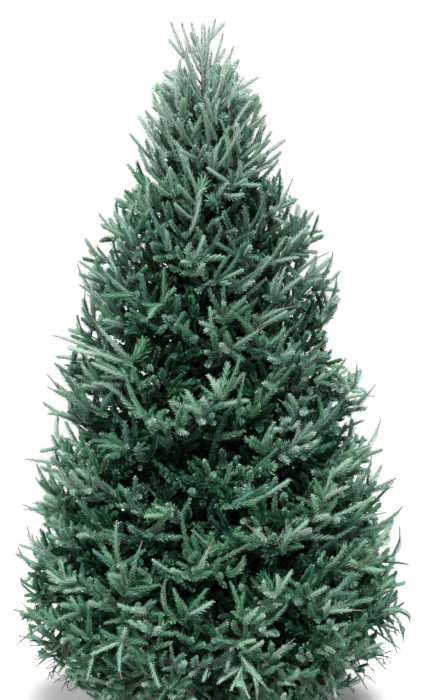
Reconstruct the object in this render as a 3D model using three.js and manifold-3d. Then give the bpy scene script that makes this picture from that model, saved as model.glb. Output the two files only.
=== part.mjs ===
// A cut fir for Christmas, 2.3 m tall, standing on a plain crossed timber stand.
// Millimetres, +Z up. The origin is the middle of the stand's flat underside, on the floor.
//
// The trunk runs whole from its flat cut to the foot of the leader. Boughs leave it in whorls. Round
// each bough lies one mass of foliage: a stem and a dense core along the bough, and twigs that branch
// off by a seeded rule and stand out of the core as sprays of needles. A spray is a slim spindle with
// whorls of needle points swept forwards.
import * as THREE from "three";
import { mergeVertices } from "three/addons/utils/BufferGeometryUtils.js";
import Module from "manifold-3d";

const wasm = await Module();
wasm.setup();

// ---------------------------------------------------------------- driving dimensions
const TREE_HEIGHT = 2300; // floor to the tip of the leader
const CROWN_RADIUS = 685; // at the crown's widest
const WIDEST_Z = 410; // height of the widest boughs' tips
const OUTLINE_APEX = 2355; // where the outline's curve would close above the leader
const OUTLINE_POWER = 0.52; // under 1 swells the cone's sides outwards
const OUTLINE_PLAY = [0.94, 1.04]; // share of the outline that single sprays reach
const SKIRT_Z = 80; // the lowest needles
const SKIRT_TUCK = 0.4; // share of the radius lost from the widest point down to the skirt

const TRUNK_FOOT_Z = 44.3; // the cut rests on the stand's crossing
const TRUNK_TOP_Z = 2125;
const TRUNK_FOOT_RADIUS = 44;
const TRUNK_TOP_RADIUS = 8;
const BUTT_SWELL = 7; // extra radius at the cut
const BUTT_HEIGHT = 160; // where that swelling ends
const TRUNK_LEAN = new THREE.Vector2(-22, 8); // sideways, at the top
const TRUNK_SWAY = new THREE.Vector2(7, 9); // the slow bend between foot and top
const TRUNK_BENDS = 1.5; // half waves of that bend, from the floor to the top
const TRUNK_SIDES = 12;
const TRUNK_SPANS = 14;
const TRUNK_SPACING = 1.25; // over 1 sets the rings closer together at the swollen butt

// Height on the trunk, boughs in the whorl, bare length of each bough, and the whorl's turn about the
// trunk. The masses of an open whorl have no dense core.
const WHORLS = [
  { z: 300, boughs: 6, bare: 125, turn: 18 },
  { z: 570, boughs: 6, bare: 110, turn: 47 },
  { z: 840, boughs: 5, bare: 90, turn: 41 },
  { z: 1110, boughs: 5, bare: 0, turn: 4 },
  { z: 1380, boughs: 4, bare: 0, turn: 12 },
  { z: 1650, boughs: 4, bare: 0, turn: 58 },
  { z: 1920, boughs: 4, bare: 0, turn: 20, open: true },
];
const BOUGH_RISE = [-3, 50]; // degrees above level at the trunk, lowest whorl and highest
const TIP_RISE = [3, 68]; // degrees above level at the tip
const LEADER_RISE = 74;
const LEADER_FOOT = 20; // above the trunk's top, to where the leader's own surface starts
const LEADER_REACH = 100;
const BOUGH_RADIUS = [10, 5.5]; // at the trunk, lowest whorl and highest
const BOUGH_FLARE = 1.25; // times that radius, inside the trunk
const BOUGH_WANDER = 0.06; // how far a bough strays round the trunk at its tip, in radians
const STEM_TIP_SHARE = 0.3; // of the bough's radius left at its tip
const STEM_REACH = 0.86; // of the bough, to the end of its stem
const LAST_NODE = 0.74; // of the bough, to the node of its end spray
const NODE_SPACING = 120; // between pairs of side twigs along a bough
const FIRST_CORE = 16; // from the stem's foot, or the trunk, to the core
const FIRST_NODE = 36; // and to the first side twigs
const NODE_SHIFT = 0.6; // where a pair of side twigs sits in its stretch of the bough, as a share
const LIMB_SIDES = 6;
const STEM_SIDES = 4;
const STEM_SPANS = 4;
const TWIG_SIDES = 3;

const BAND_WAVE = 42; // how far the edge between two whorls' masses waves up and down round the crown
const WAVES = 3; // round the crown
const WAVE_SHIFT = 2.1; // radians, from one edge to the next
const CORE_REACH = 0.75; // of the bough, to the core's point
const CORE_WIDE = 0.95; // of the mass's own angle
const CORE_HIGH = 0.93; // of the way to the masses above and below
const CORE_PLAY = [0.86, 1]; // each corner's share of the core's smooth form
const CORE_SQUARE = 0.5; // 1 makes the core's sections round, less makes them squarer
const CORE_LEAN = 1.1; // over 1 moves the core's widest section outwards
const CORE_BLUNT = 0.25; // under 1 makes its two ends blunter
const CORE_SIDES = 8;
const CORE_SPANS = 5;

const SPRAY_RADIUS = 50; // over the needle points of a full spray
const SPRAY_RINGS = { places: [0, 0.36, 0.62, 1], widths: [0, 1, 0.72, 0] }; // shares of length and radius
const SPRAY_LENGTHS = [110, 340]; // one shorter is skipped, and none is longer
const FULL_SPRAY = 250; // from this length a spray has its full radius
const SLIM_SPRAY = 0.5; // the share of it that the shortest would have
const SPRAY_SHRINK = 0.97; // from one trial of its length to the next
const SPRAY_SPACING = 52; // least distance between the outer halves of two sprays
// Side twigs, and the sprays at a side twig's end: the roll about the bough from its upper side and the
// angle off it, both in degrees. A side twig's length is a share of the wedge's half-width there.
const SIDE_TWIG = { rolls: [80, 100], angles: [42, 56], lengths: [0.4, 0.7] };
const END_SPRAYS = [
  { rolls: [70, 110], angles: [15, 45] },
  { rolls: [15, 55], angles: [35, 65] },
  { rolls: [125, 165], angles: [35, 65] },
];
const STEM_SPRAYS = [
  { rolls: [150, 210], angles: [20, 50] },
  { rolls: [-30, 30], angles: [20, 50] },
]; // under and over the bough in turn
const LEADER_STEM = 0.7; // of the leader, to the end of its stem
const LEADER_SPRAY = 0.3; // and to the foot of its own spray
const LEADER_SHOOTS = { count: 6, first: 0.22, spacing: 0.05, turn: 137.5, play: 15, angles: [22, 34] };
const TRIES = 5; // directions drawn for a spray before it is given up
const MOST_SPRAYS = 8; // in one mass
const TWIG_RADIUS = 4;
const TWIG_TAPER = 0.7; // share of that radius at a twig's end
const TWIG_MARGIN = 1.1; // a side twig's end stays inside the core even at this share of its length
const TWIG_SHRINK = 0.85; // from one trial of that length to the next
const CORE_SINK = 30; // a spray's root lies this far inside the core
const TWIG_SINK = 18; // and its twig runs on into it by this much
const CORE_STEP = 10; // between the places along a spray that are tried for where it leaves the core
const NODE_SINK = 12; // or, where there is no core, this far behind its node on the stem
const KEEP_CLEAR = 3.2; // between a mass and the edge of its own space
const SEAT_GAP = 0.3; // between pieces that touch
const SHORTEST = 1; // anything shorter counts as nothing

const BOARD = new THREE.Vector3(600, 72, 44); // one of the stand's two boards
const STAND_TURN = 45;
const BRACE_HEIGHT = 120;
const BRACE_REACH = 105; // along the board, from the trunk
const BRACE_THICKNESS = 30;
const BRACE_TOE = 14; // the blunt end of a brace
const BRACE_BITE = 12; // a brace is cut to the trunk's round over this depth

const BARK = new THREE.MeshStandardMaterial({ color: 0x5d4a3c, roughness: 0.9, metalness: 0 });
const NEEDLES = new THREE.MeshStandardMaterial({ color: 0x4f7a68, roughness: 0.65, metalness: 0 });
const TIMBER = new THREE.MeshStandardMaterial({ color: 0xb99766, roughness: 0.8, metalness: 0 });

const UP = new THREE.Vector3(0, 0, 1);
const LEVEL = new THREE.Vector3(0, 1, 0); // stands in for up beside a steep direction
const STEEP_LIMB = 0.9; // the upright share from which a limb counts as steep
const STEEP_TWIG = 0.95; // and a direction that a twig leaves
const DEGREE = Math.PI / 180;
const WELD = 1e-3; // corners closer than this are one
const SETTLING_STEPS = 40; // to find how far a bough reaches
const TANGENT_STEP = 5; // along a bough, to each side of where its direction is taken

// ---------------------------------------------------------------- numbers and curves
// A stream of even random numbers for one limb, named by its keys, so limbs don't disturb each other.
function stream(...keys) {
  const modulus = 2147483647;
  let state = keys.reduce((sum, key) => (sum * 131 + key + 7) % modulus, 2024);
  const next = () => {
    state = (state * 48271) % modulus;
    return state / modulus;
  };
  next();
  next();
  return (low, high) => low + (high - low) * next();
}

const blend = (pair, share) => pair[0] + (pair[1] - pair[0]) * share;

function trunkCentre(z) {
  const share = z / TRUNK_TOP_Z;
  const bend = Math.sin(Math.PI * share * TRUNK_BENDS);
  return new THREE.Vector3(
    TRUNK_LEAN.x * share + TRUNK_SWAY.x * bend,
    TRUNK_LEAN.y * share + TRUNK_SWAY.y * bend,
    z,
  );
}

function trunkRadius(z) {
  const share = (z - TRUNK_FOOT_Z) / (TRUNK_TOP_Z - TRUNK_FOOT_Z);
  const swell = Math.max(0, 1 - (z - TRUNK_FOOT_Z) / BUTT_HEIGHT);
  return blend([TRUNK_FOOT_RADIUS, TRUNK_TOP_RADIUS], share) + BUTT_SWELL * swell * swell;
}

// How far the crown's tips reach from the trunk at a height.
function crownRadius(z) {
  if (z < WIDEST_Z) {
    const tuck = (WIDEST_Z - z) / (WIDEST_Z - SKIRT_Z);
    return CROWN_RADIUS * (1 - SKIRT_TUCK * tuck * tuck);
  }
  const share = Math.max(0, OUTLINE_APEX - z) / (OUTLINE_APEX - WIDEST_Z);
  return CROWN_RADIUS * share ** OUTLINE_POWER;
}

// ---------------------------------------------------------------- solids
// A closed body of rings with corners all round, from a first ring to a last. place(ring, angle, out)
// gives each corner, and each end's middle where out is 0. An end whose corners meet is a point.
function ringed(spans, sides, place) {
  const geometry = new THREE.CylinderGeometry(1, 1, 1, sides, spans);
  const position = geometry.getAttribute("position");
  for (let i = 0; i < position.count; i++) {
    const ring = Math.round((position.getY(i) + 0.5) * spans);
    const angle = Math.atan2(position.getX(i), position.getZ(i));
    const corner = place(ring, angle, Math.hypot(position.getX(i), position.getZ(i)));
    position.setXYZ(i, corner.x, corner.y, corner.z);
  }
  return geometry;
}

// A closed limb through points with these radii. A zero radius closes it to a point. Twist turns every
// second ring, so that wide and narrow rings alternate as needle points and valleys.
function sweep(points, radii, sides, twist = 0) {
  const last = points.length - 1;
  const steep = Math.abs(points[last].clone().sub(points[0]).normalize().z) > STEEP_LIMB;
  const level = steep ? LEVEL : UP;
  const frames = points.map((point, i) => {
    const along = points[Math.min(i + 1, last)].clone().sub(points[Math.max(i - 1, 0)]).normalize();
    const across = level.clone().cross(along).normalize();
    return { point, across, upper: across.clone().cross(along) };
  });
  return ringed(last, sides, (ring, angle, out) => {
    const turn = angle + (ring % 2) * twist;
    return frames[ring].point
      .clone()
      .addScaledVector(frames[ring].across, radii[ring] * out * Math.sin(turn))
      .addScaledVector(frames[ring].upper, radii[ring] * out * Math.cos(turn));
  });
}

function toSolid(geometry) {
  const bare = geometry.index ? geometry.toNonIndexed() : geometry.clone();
  bare.deleteAttribute("normal");
  bare.deleteAttribute("uv");
  const merged = mergeVertices(bare, WELD);
  const triangles = [];
  for (let i = 0; i < merged.index.count; i += 3) {
    const [a, b, c] = [0, 1, 2].map((k) => merged.index.getX(i + k));
    if (a !== b && b !== c && c !== a) triangles.push(a, b, c);
  }
  return new wasm.Manifold(
    new wasm.Mesh({
      numProp: 3,
      vertProperties: new Float32Array(merged.attributes.position.array),
      triVerts: new Uint32Array(triangles),
    }),
  );
}

// The largest body of a solid: loose scraps go, and so do the sealed hollows between fused twigs.
function wholeOf(solid) {
  return solid.decompose().reduce((best, body) => (body.volume() > best.volume() ? body : best));
}

function toMesh(solid, name, material) {
  const { numVert, numProp, vertProperties, triVerts } = solid.getMesh();
  const positions = new Float32Array(numVert * 3);
  for (let i = 0; i < numVert; i++) {
    positions.set(vertProperties.subarray(i * numProp, i * numProp + 3), i * 3);
  }
  const geometry = new THREE.BufferGeometry();
  geometry.setAttribute("position", new THREE.BufferAttribute(positions, 3));
  geometry.setIndex(new THREE.BufferAttribute(triVerts, 1));
  const mesh = new THREE.Mesh(geometry, material);
  mesh.name = name;
  return mesh;
}

// ---------------------------------------------------------------- boughs
// A bough's centre line rises from its slope at the trunk to its slope at the tip, as a parabola.
function centreHeight(bough, out) {
  const turned = (bough.tipSlope - bough.slope) / (2 * bough.reach);
  return bough.z + out * bough.slope + out * out * turned;
}

function boughPoint(bough, out) {
  const angle = bough.azimuth + bough.wander * (out / bough.reach) ** 2;
  const rise = centreHeight(bough, out) - bough.z;
  return trunkCentre(bough.z).add(new THREE.Vector3(out * Math.cos(angle), out * Math.sin(angle), rise));
}

// A bough reaches out until its tip meets the crown's outline.
function reachOf(z, slope, tipSlope) {
  let reach = CROWN_RADIUS / 2;
  for (let i = 0; i < SETTLING_STEPS; i++) {
    reach = (reach + crownRadius(z + (reach * (slope + tipSlope)) / 2)) / 2;
  }
  return reach;
}

function whorlSurface(z) {
  const share = (z - WHORLS[0].z) / (WHORLS[WHORLS.length - 1].z - WHORLS[0].z);
  const slope = Math.tan(blend(BOUGH_RISE, share) * DEGREE);
  const tipSlope = Math.tan(blend(TIP_RISE, share) * DEGREE);
  return { z, share, slope, tipSlope, reach: reachOf(z, slope, tipSlope) };
}

const leaderSlope = Math.tan(LEADER_RISE * DEGREE);
const LEADER = {
  z: TRUNK_TOP_Z + LEADER_FOOT,
  slope: leaderSlope,
  tipSlope: leaderSlope,
  reach: LEADER_REACH,
};
const SURFACES = [...WHORLS.map((whorl) => whorlSurface(whorl.z)), LEADER];

function allBoughs() {
  return WHORLS.flatMap((whorl, w) =>
    Array.from({ length: whorl.boughs }, (_, k) => {
      const draw = stream(w, k);
      return {
        ...SURFACES[w],
        whorl: w,
        key: [w, k],
        name: `${w + 1}_${k + 1}`,
        bare: whorl.bare,
        open: whorl.open,
        azimuth: (whorl.turn + (360 * k) / whorl.boughs) * DEGREE,
        halfAngle: Math.PI / whorl.boughs,
        wander: draw(-BOUGH_WANDER, BOUGH_WANDER),
        radius: blend(BOUGH_RADIUS, SURFACES[w].share),
      };
    }),
  );
}

// ---------------------------------------------------------------- the space of each mass
// The edge between a whorl's masses and those of the whorl above lies halfway, and waves a little.
function edgeAbove(w, out, angle) {
  const halfway = (centreHeight(SURFACES[w], out) + centreHeight(SURFACES[w + 1], out)) / 2;
  return halfway + BAND_WAVE * Math.sin(WAVES * angle + WAVE_SHIFT * w);
}

// Heights of a mass's middle, top and bottom at a distance from the trunk and an angle round it.
function bandAt(bough, out, angle) {
  const w = bough.whorl;
  const top = SURFACES[w + 1] ? Math.min(edgeAbove(w, out, angle), TREE_HEIGHT) : TREE_HEIGHT;
  const bottom = w > 0 ? edgeAbove(w - 1, out, angle) : SKIRT_Z;
  const middle = SURFACES[w + 1] && w > 0 ? (top + bottom) / 2 : centreHeight(SURFACES[w], out);
  return { middle, top, bottom };
}

// True inside the mass's wedge and band, clear of the trunk, and within a share of the crown's outline.
function inSpace(bough, point, share) {
  const centre = trunkCentre(point.z);
  const x = point.x - centre.x;
  const y = point.y - centre.y;
  const out = Math.hypot(x, y);
  const { top, bottom } = bandAt(bough, out, Math.atan2(y, x));
  const along = x * Math.cos(bough.azimuth) + y * Math.sin(bough.azimuth);
  const aside = Math.abs(y * Math.cos(bough.azimuth) - x * Math.sin(bough.azimuth));
  const edge = along * Math.sin(bough.halfAngle) - aside * Math.cos(bough.halfAngle);
  return (
    point.z < top - (bough.isLeader ? 0 : KEEP_CLEAR) &&
    point.z > bottom + KEEP_CLEAR &&
    (bough.isLeader || edge > KEEP_CLEAR) &&
    out > trunkRadius(Math.min(point.z, TRUNK_TOP_Z)) + KEEP_CLEAR &&
    out < crownRadius(point.z) * share
  );
}

function corners(geometry) {
  const position = geometry.getAttribute("position");
  const corner = (_, i) => new THREE.Vector3().fromBufferAttribute(position, i);
  return Array.from({ length: position.count }, corner);
}

// ---------------------------------------------------------------- twigs and sprays
// A direction that leaves another at an angle, rolled about it from the upper side.
function branchOff(along, roll, angle) {
  const level = Math.abs(along.z) > STEEP_TWIG ? LEVEL : UP;
  const upper = level.clone().addScaledVector(along, -level.dot(along)).normalize();
  const side = along.clone().cross(upper);
  const away = upper.multiplyScalar(Math.cos(roll)).addScaledVector(side, Math.sin(roll));
  return along.clone().multiplyScalar(Math.cos(angle)).addScaledVector(away, Math.sin(angle));
}

// A spindle pointed at both ends, with two whorls of needle points, one turned between the other's.
function sprayGeometry(root, along, length) {
  const { places, widths } = SPRAY_RINGS;
  const radius = SPRAY_RADIUS * Math.min(1, SLIM_SPRAY + ((1 - SLIM_SPRAY) * length) / FULL_SPRAY);
  const points = places.map((at) => root.clone().addScaledVector(along, at * length));
  const radii = widths.map((width) => width * radius);
  return sweep(points, radii, TWIG_SIDES, Math.PI / TWIG_SIDES);
}

// The dense heart of a mass fills most of its wedge and band, from the stem's foot to its point.
class Core {
  constructor(bough, start) {
    this.bough = bough;
    this.start = start;
    this.end = bough.reach * CORE_REACH;
  }

  // How much of the wedge and band is filled at a distance out: nothing at both ends.
  fullness(out) {
    const share = (out - this.start) / (this.end - this.start);
    return share <= 0 || share >= 1 ? 0 : Math.sin(Math.PI * share ** CORE_LEAN) ** CORE_BLUNT;
  }

  // True inside the smallest form that the corners' play can leave.
  holds(point) {
    const centre = trunkCentre(point.z);
    const out = Math.hypot(point.x - centre.x, point.y - centre.y);
    const full = this.fullness(out) * CORE_PLAY[0];
    if (full === 0) return false;
    const angle = Math.atan2(point.y - centre.y, point.x - centre.x);
    const { middle, top, bottom } = bandAt(this.bough, out, angle);
    const turn = angle - this.bough.azimuth;
    const wide = Math.abs(Math.atan2(Math.sin(turn), Math.cos(turn))) / (this.bough.halfAngle * CORE_WIDE);
    const room = point.z > middle ? top - middle : middle - bottom;
    const high = Math.abs(point.z - middle) / (room * CORE_HIGH);
    return wide ** (2 / CORE_SQUARE) + high ** (2 / CORE_SQUARE) < full ** (2 / CORE_SQUARE);
  }

  solid(draw) {
    const play = Array.from({ length: (CORE_SPANS + 1) * CORE_SIDES }, () => draw(...CORE_PLAY));
    const squared = (x) => Math.sign(x) * Math.abs(x) ** CORE_SQUARE;
    const geometry = ringed(CORE_SPANS, CORE_SIDES, (ring, angle, edge) => {
      const out = blend([this.start, this.end], ring / CORE_SPANS);
      const corner = Math.round((angle / (2 * Math.PI) + 1) * CORE_SIDES) % CORE_SIDES;
      const full = this.fullness(out) * edge * play[ring * CORE_SIDES + corner];
      const turn = this.bough.azimuth - squared(Math.sin(angle)) * full * this.bough.halfAngle * CORE_WIDE;
      const { middle, top, bottom } = bandAt(this.bough, out, turn);
      const room = Math.cos(angle) > 0 ? top - middle : middle - bottom;
      const z = middle + squared(Math.cos(angle)) * full * room * CORE_HIGH;
      return trunkCentre(z).add(new THREE.Vector3(out * Math.cos(turn), out * Math.sin(turn), 0));
    });
    return toSolid(geometry);
  }
}

// One mass: it keeps the sprays that fit its space, and its parts are fused at the end.
class Mass {
  constructor(bough, core, draw) {
    this.bough = bough;
    this.core = core;
    this.draw = draw;
    this.solids = core ? [core.solid(draw)] : [];
    this.lines = [];
  }

  // True where a line keeps its outer part away from the mass's other sprays.
  isOpen(from, to) {
    const near = new THREE.Vector3();
    const outer = SPRAY_RINGS.places.slice(1).map((at) => from.clone().lerp(to, at));
    return this.lines.every((line) =>
      outer.every((p) => line.closestPointToPoint(p, true, near).distanceTo(p) > SPRAY_SPACING),
    );
  }

  addTwig(from, to) {
    this.solids.push(toSolid(sweep([from, to], [TWIG_RADIUS, TWIG_RADIUS * TWIG_TAPER], TWIG_SIDES)));
  }

  // Adds a side twig and returns its end, which stays inside the core where there is one.
  addSideTwig(from, away, wanted) {
    let length = wanted;
    const pokesOut = () => !this.core.holds(from.clone().addScaledVector(away, length * TWIG_MARGIN));
    while (this.core && length > SHORTEST && pokesOut()) length *= TWIG_SHRINK;
    const end = from.clone().addScaledVector(away, length);
    if (length > TWIG_RADIUS) this.addTwig(from, end);
    return end;
  }

  // Adds a spray in a direction drawn from these ranges. The first with room for a spray is taken.
  branch(node, along, side, { rolls, angles }) {
    for (let i = 0; i < TRIES && this.lines.length < MOST_SPRAYS; i++) {
      const roll = side * this.draw(...rolls) * DEGREE;
      if (this.addSpray(node, branchOff(along, roll, this.draw(...angles) * DEGREE))) return;
    }
  }

  // The spray is as long as the space allows. Its twig runs from the node to where it leaves the core,
  // and the spray's root is sunk there. False where there is no room.
  addSpray(node, along) {
    let leaves = 0;
    for (let far = CORE_STEP; this.core && far < this.bough.reach; far += CORE_STEP) {
      if (this.core.holds(node.clone().addScaledVector(along, far))) leaves = far;
    }
    const root = node.clone().addScaledVector(along, leaves - (this.core ? CORE_SINK : NODE_SINK));
    const share = this.draw(...OUTLINE_PLAY);
    for (let length = SPRAY_LENGTHS[1]; length >= SPRAY_LENGTHS[0]; length *= SPRAY_SHRINK) {
      const tip = root.clone().addScaledVector(along, length);
      const geometry = sprayGeometry(root, along, length);
      const points = corners(geometry).filter((p) => p.distanceTo(root) > SHORTEST);
      if (!points.every((p) => inSpace(this.bough, p, share))) continue;
      if (!this.isOpen(root, tip)) return false;
      if (leaves > CORE_SINK) this.addTwig(node, root.clone().addScaledVector(along, TWIG_SINK));
      this.solids.push(toSolid(geometry));
      this.lines.push(new THREE.Line3(root, tip));
      return true;
    }
    return false;
  }

  fused() {
    return wholeOf(this.solids.reduce((all, solid) => all.add(solid)));
  }
}

// ---------------------------------------------------------------- pieces of the tree
function trunkSolid(clearance) {
  const heights = Array.from({ length: TRUNK_SPANS + 1 }, (_, i) =>
    blend([TRUNK_FOOT_Z - clearance, TRUNK_TOP_Z + clearance], (i / TRUNK_SPANS) ** TRUNK_SPACING),
  );
  return toSolid(
    ringed(TRUNK_SPANS, TRUNK_SIDES, (ring, angle, out) => {
      const radius = out * (trunkRadius(Math.max(heights[ring], TRUNK_FOOT_Z)) + clearance);
      const centre = trunkCentre(heights[ring]);
      return centre.add(new THREE.Vector3(radius * Math.sin(angle), -radius * Math.cos(angle), 0));
    }),
  );
}

function boughPath(bough, from, to, steps) {
  return Array.from({ length: steps + 1 }, (_, i) => boughPoint(bough, blend([from, to], i / steps)));
}

function radiusAt(bough, out) {
  return bough.radius * (1 - (1 - STEM_TIP_SHARE) * (out / bough.reach));
}

function boughSolid(bough, trunk) {
  const outs = [0, bough.bare / 2, bough.bare].map((out) => out + TRUNK_FOOT_RADIUS);
  const path = outs.map((out) => boughPoint(bough, out));
  path.unshift(boughPoint(bough, 0));
  const radii = [bough.radius * BOUGH_FLARE, ...outs.map((out) => radiusAt(bough, out))];
  return wholeOf(toSolid(sweep(path, radii, LIMB_SIDES)).subtract(trunk));
}

function foliageSolid(bough, trunk) {
  const draw = stream(...bough.key, 5);
  const start = bough.bare ? bough.bare + TRUNK_FOOT_RADIUS + SEAT_GAP : 0;
  const foot = Math.max(start, trunkRadius(bough.z));
  const mass = new Mass(bough, bough.open ? null : new Core(bough, foot + FIRST_CORE), draw);
  const ends = [start, bough.reach * STEM_REACH];
  const path = boughPath(bough, ...ends, STEM_SPANS);
  const radii = path.map((_, i) => radiusAt(bough, blend(ends, i / STEM_SPANS)));
  const stem = toSolid(sweep(path, radii, STEM_SIDES));
  mass.solids.push(bough.bare ? stem : stem.subtract(trunk));

  const directionAt = (out) =>
    boughPoint(bough, out + TANGENT_STEP).sub(boughPoint(bough, out - TANGENT_STEP)).normalize();
  const last = bough.reach * LAST_NODE;
  mass.addSpray(boughPoint(bough, last), directionAt(last));
  const nodes = Math.max(2, Math.round((last - foot) / NODE_SPACING));
  for (let i = nodes - 1; i >= 0; i--) {
    const out = blend([foot + FIRST_NODE, last], (i + NODE_SHIFT) / nodes);
    const from = boughPoint(bough, out);
    const along = directionAt(out);
    for (const side of [-1, 1]) {
      const roll = side * draw(...SIDE_TWIG.rolls) * DEGREE;
      const away = branchOff(along, roll, draw(...SIDE_TWIG.angles) * DEGREE);
      const length = out * Math.tan(bough.halfAngle) * draw(...SIDE_TWIG.lengths);
      const node = mass.addSideTwig(from, away, length);
      END_SPRAYS.forEach((ranges) => mass.branch(node, along, side, ranges));
    }
    mass.branch(from, along, 1, STEM_SPRAYS[i % 2]);
  }
  return mass.fused();
}

function leaderSolid() {
  const leader = { ...LEADER, whorl: WHORLS.length, azimuth: 0, halfAngle: Math.PI, isLeader: true };
  const draw = stream(WHORLS.length, 5);
  const mass = new Mass(leader, null, draw);
  const foot = trunkCentre(TRUNK_TOP_Z + SEAT_GAP);
  const tip = trunkCentre(TREE_HEIGHT);
  const along = tip.clone().sub(foot).normalize();
  const radii = [TRUNK_TOP_RADIUS, TRUNK_TOP_RADIUS * STEM_TIP_SHARE];
  mass.solids.push(toSolid(sweep([foot, foot.clone().lerp(tip, LEADER_STEM)], radii, STEM_SIDES)));
  const root = foot.clone().lerp(tip, LEADER_SPRAY);
  mass.solids.push(toSolid(sprayGeometry(root, along, root.distanceTo(tip))));
  const { count, first, spacing, turn, play, angles } = LEADER_SHOOTS;
  for (let i = 0; i < count; i++) {
    const from = foot.clone().lerp(tip, first + spacing * i);
    const roll = (i * turn + draw(-play, play)) * DEGREE;
    mass.addSpray(from, branchOff(along, roll, draw(...angles) * DEGREE));
  }
  return mass.fused();
}

// Two boards halved over each other, and four braces cut to the round of the trunk.
function standMeshes(trunk) {
  const turn = new THREE.Matrix4().makeRotationZ(STAND_TURN * DEGREE);
  const quarter = new THREE.Matrix4().makeRotationZ(Math.PI / 2);
  const board = () => new THREE.BoxGeometry(BOARD.x, BOARD.y, BOARD.z).translate(0, 0, BOARD.z / 2);
  const notch = new THREE.BoxGeometry(BOARD.y + 2 * SEAT_GAP, BOARD.y * 2, BOARD.z);
  const upperNotch = notch.clone().translate(0, 0, BOARD.z);
  const lowerNotch = notch.clone().applyMatrix4(quarter).translate(0, 0, SEAT_GAP);
  const lower = toSolid(board().applyMatrix4(turn)).subtract(toSolid(upperNotch.applyMatrix4(turn)));
  const upper = toSolid(board().applyMatrix4(quarter).applyMatrix4(turn)).subtract(
    toSolid(lowerNotch.applyMatrix4(turn)),
  );
  const inner = TRUNK_FOOT_RADIUS + BUTT_SWELL - BRACE_BITE;
  const outer = TRUNK_FOOT_RADIUS + BUTT_SWELL + BRACE_REACH;
  const outline = new THREE.Shape([
    new THREE.Vector2(inner, 0),
    new THREE.Vector2(outer, 0),
    new THREE.Vector2(outer, BRACE_TOE),
    new THREE.Vector2(inner + BRACE_BITE + BRACE_TOE, BRACE_HEIGHT),
    new THREE.Vector2(inner, BRACE_HEIGHT),
  ]);
  const brace = new THREE.ExtrudeGeometry(outline, { depth: BRACE_THICKNESS, bevelEnabled: false })
    .translate(0, 0, -BRACE_THICKNESS / 2)
    .rotateX(Math.PI / 2)
    .translate(0, 0, BOARD.z + SEAT_GAP);
  const braces = [0, 1, 2, 3].map((i) => {
    const placed = brace.clone().rotateZ(STAND_TURN * DEGREE + (i * Math.PI) / 2);
    return toMesh(wholeOf(toSolid(placed).subtract(trunk)), `stand_brace_${i + 1}`, TIMBER);
  });
  const boards = [toMesh(lower, "stand_board_lower", TIMBER), toMesh(upper, "stand_board_upper", TIMBER)];
  return [...boards, ...braces];
}

// ---------------------------------------------------------------- the tree
const tree = new THREE.Group();
const trunkClear = trunkSolid(SEAT_GAP);
tree.add(toMesh(trunkSolid(0), "trunk", BARK));
tree.add(...standMeshes(trunkClear));
for (const bough of allBoughs()) {
  if (bough.bare) tree.add(toMesh(boughSolid(bough, trunkClear), `bough_${bough.name}`, BARK));
  tree.add(toMesh(foliageSolid(bough, trunkClear), `foliage_${bough.name}`, NEEDLES));
}
tree.add(toMesh(leaderSolid(), "foliage_leader", NEEDLES));

export default tree;
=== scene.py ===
"""A cut fir for Christmas, 2.3 m tall, on a plain crossed timber stand.

Metres, +Z up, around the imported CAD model. The boughs grow by the rule of the CAD source, written again
here: they leave the trunk in whorls, side twigs leave them in pairs, and each twig bears shoots clad in
needles. The trunk and the bare boughs get their bark, and the stand its rounded edges and pegs.
"""

from math import atan2, cos, hypot, inf, pi, radians, sin, tan

import bmesh
import bpy
import numpy as np
from mathutils import Matrix, Vector, kdtree, noise


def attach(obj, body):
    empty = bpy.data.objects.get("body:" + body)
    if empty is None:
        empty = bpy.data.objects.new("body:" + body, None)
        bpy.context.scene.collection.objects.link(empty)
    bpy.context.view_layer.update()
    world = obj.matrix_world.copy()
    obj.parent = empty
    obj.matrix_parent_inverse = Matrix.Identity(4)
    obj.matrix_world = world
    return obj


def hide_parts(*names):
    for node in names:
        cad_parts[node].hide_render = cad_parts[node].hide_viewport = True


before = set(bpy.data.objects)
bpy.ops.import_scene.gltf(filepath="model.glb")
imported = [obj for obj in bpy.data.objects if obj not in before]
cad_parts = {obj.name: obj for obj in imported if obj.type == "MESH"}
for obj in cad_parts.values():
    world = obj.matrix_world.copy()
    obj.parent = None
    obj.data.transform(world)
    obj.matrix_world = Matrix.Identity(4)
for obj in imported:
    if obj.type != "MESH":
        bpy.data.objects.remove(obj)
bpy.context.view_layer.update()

UP = Vector((0, 0, 1))
SEED = 2024

# ---- the crown, as in the CAD source
TREE_HEIGHT = 2.3
CROWN_RADIUS = 0.685
WIDEST_Z = 0.41
OUTLINE_APEX = 2.355
OUTLINE_POWER = 0.52
SKIRT_Z = 0.08
SKIRT_TUCK = 0.4  # share of its radius that the crown loses down to the skirt

TRUNK_FOOT_Z = 0.0443
TRUNK_TOP_Z = 2.125
TRUNK_FOOT_RADIUS = 0.044
TRUNK_TOP_RADIUS = 0.008
BUTT_SWELL = 0.007
BUTT_HEIGHT = 0.16
TRUNK_LEAN = (-0.022, 0.008)
TRUNK_SWAY = (0.007, 0.009)
TRUNK_BENDS = 1.5  # half waves of the sway

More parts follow.
